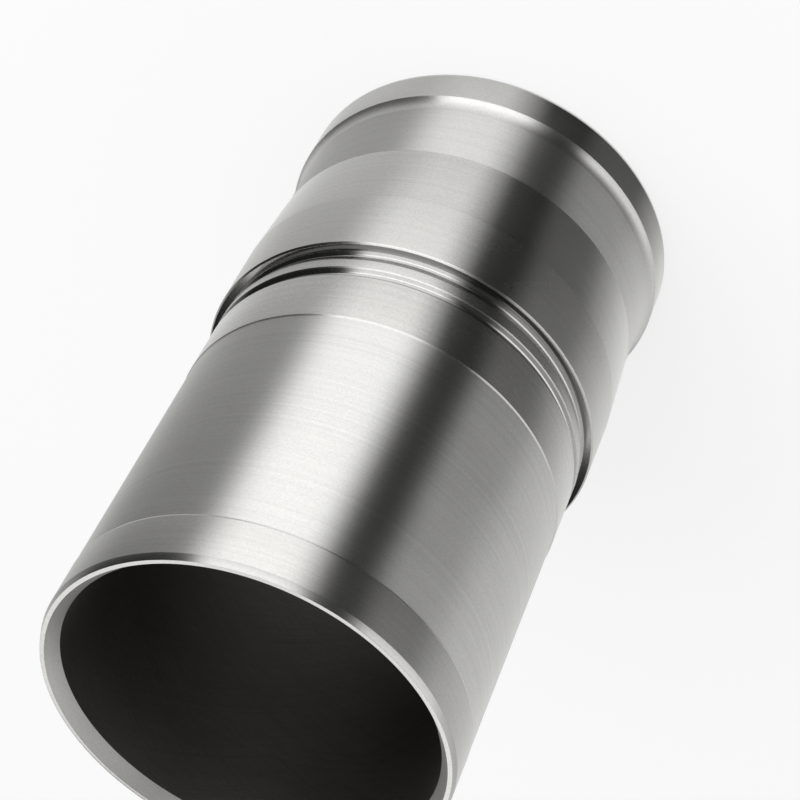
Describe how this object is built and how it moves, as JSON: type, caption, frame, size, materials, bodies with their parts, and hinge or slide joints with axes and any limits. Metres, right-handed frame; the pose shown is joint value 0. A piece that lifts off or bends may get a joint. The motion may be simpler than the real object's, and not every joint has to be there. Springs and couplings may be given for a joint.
{
  "type": "cylinder liner",
  "caption": "Wet cylinder liner for a piston engine: thin turned iron tube with a locating flange, a waisted water jacket zone, a mid-stop seat, seal grooves and a plain skirt.",
  "frame": {"origin": "on the bore axis, in the plane of the deck face at the flange end", "axes": "+Z along the bore axis from the deck face towards the skirt end; the liner stands on its flange; X and Y are free because the part is round"},
  "size_m": [0.1308, 0.1308, 0.2285],
  "materials": {
    "machined_iron": "finely turned and ground, bare bright iron outside, honed bore"
  },
  "bodies": {
    "root": {"cylinder_liner": "machined_iron"}
  },
  "joints": []
}
